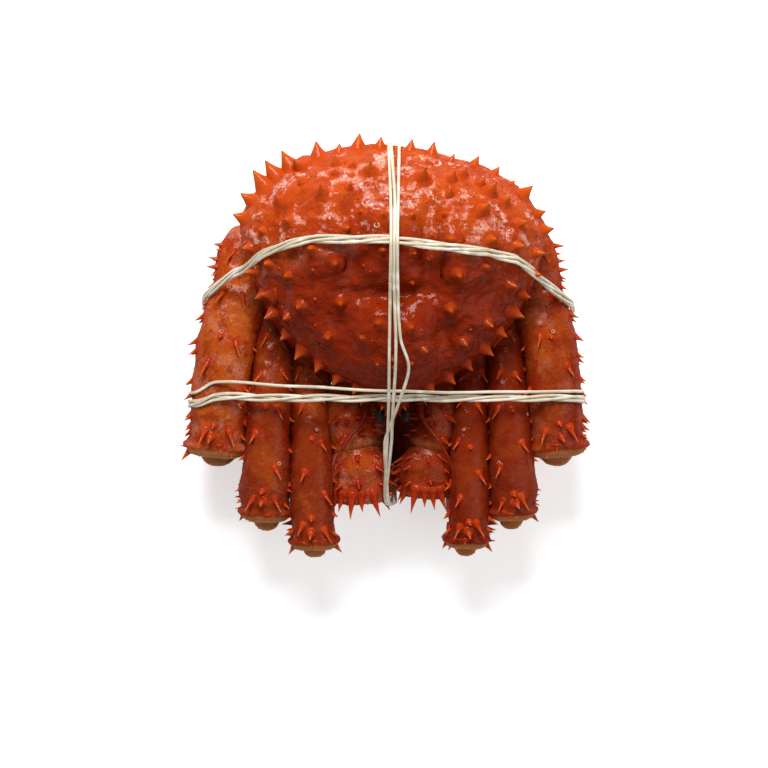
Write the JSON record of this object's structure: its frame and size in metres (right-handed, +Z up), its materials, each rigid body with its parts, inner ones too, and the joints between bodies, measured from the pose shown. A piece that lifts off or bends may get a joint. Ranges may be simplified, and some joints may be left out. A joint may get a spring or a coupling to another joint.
{
  "type": "red king crab",
  "caption": "Whole red king crab at rest, its legs folded forward and tucked under the spiny shell, tied with bands of palm fibre.",
  "frame": {"origin": "middle of the footprint of the whole bundle, on the surface that it rests on", "axes": "+Z up out of the carapace, -Y towards the front of the crab, +X towards the crab's left"},
  "size_m": [0.2652, 0.2594, 0.1321],
  "materials": {
    "carapace_shell": "wet, ice-glazed orange-red shell with paler orange spines and dark tips",
    "leg_shell": "wet orange-red leg shell with amber and tan patches at the joints",
    "claw_shell": "wet deep red claw shell with pale spine tips",
    "belly_shell": "cream and orange plates of the underside",
    "eye": "glossy black",
    "palm_fibre": "dry cream palm fibre, split lengthwise, with olive shading"
  },
  "bodies": {
    "root": {"carapace": "carapace_shell", "thorax": "belly_shell", "abdomen": "belly_shell", "right_first_leg_base": "leg_shell", "right_first_leg_merus": "leg_shell", "right_first_leg_carpus": "leg_shell", "right_first_leg_propodus": "leg_shell", "right_first_leg_dactyl": "leg_shell", "right_second_leg_base": "leg_shell", "right_second_leg_merus": "leg_shell", "right_second_leg_carpus": "leg_shell", "right_second_leg_propodus": "leg_shell", "right_second_leg_dactyl": "leg_shell", "right_third_leg_base": "leg_shell", "right_third_leg_merus": "leg_shell", "right_third_leg_carpus": "leg_shell", "right_third_leg_propodus": "leg_shell", "right_third_leg_dactyl": "leg_shell", "left_first_leg_base": "leg_shell", "left_first_leg_merus": "leg_shell", "left_first_leg_carpus": "leg_shell", "left_first_leg_propodus": "leg_shell", "left_first_leg_dactyl": "leg_shell", "left_second_leg_base": "leg_shell", "left_second_leg_merus": "leg_shell", "left_second_leg_carpus": "leg_shell", "left_second_leg_propodus": "leg_shell", "left_second_leg_dactyl": "leg_shell", "left_third_leg_base": "leg_shell", "left_third_leg_merus": "leg_shell", "left_third_leg_carpus": "leg_shell", "left_third_leg_propodus": "leg_shell", "left_third_leg_dactyl": "leg_shell", "right_claw_base": "claw_shell", "right_claw_merus": "claw_shell", "right_claw_carpus": "claw_shell", "right_claw_palm": "claw_shell", "right_claw_finger": "claw_shell", "left_claw_base": "claw_shell", "left_claw_merus": "claw_shell", "left_claw_carpus": "claw_shell", "left_claw_palm": "claw_shell", "left_claw_finger": "claw_shell", "right_eye": "eye", "right_antenna": "leg_shell", "right_maxilliped": "leg_shell", "left_eye": "eye", "left_antenna": "leg_shell", "left_maxilliped": "leg_shell", "upper_band": "palm_fibre", "lower_band": "palm_fibre", "lower_strand": "palm_fibre", "long_band": "palm_fibre"}
  },
  "joints": []
}
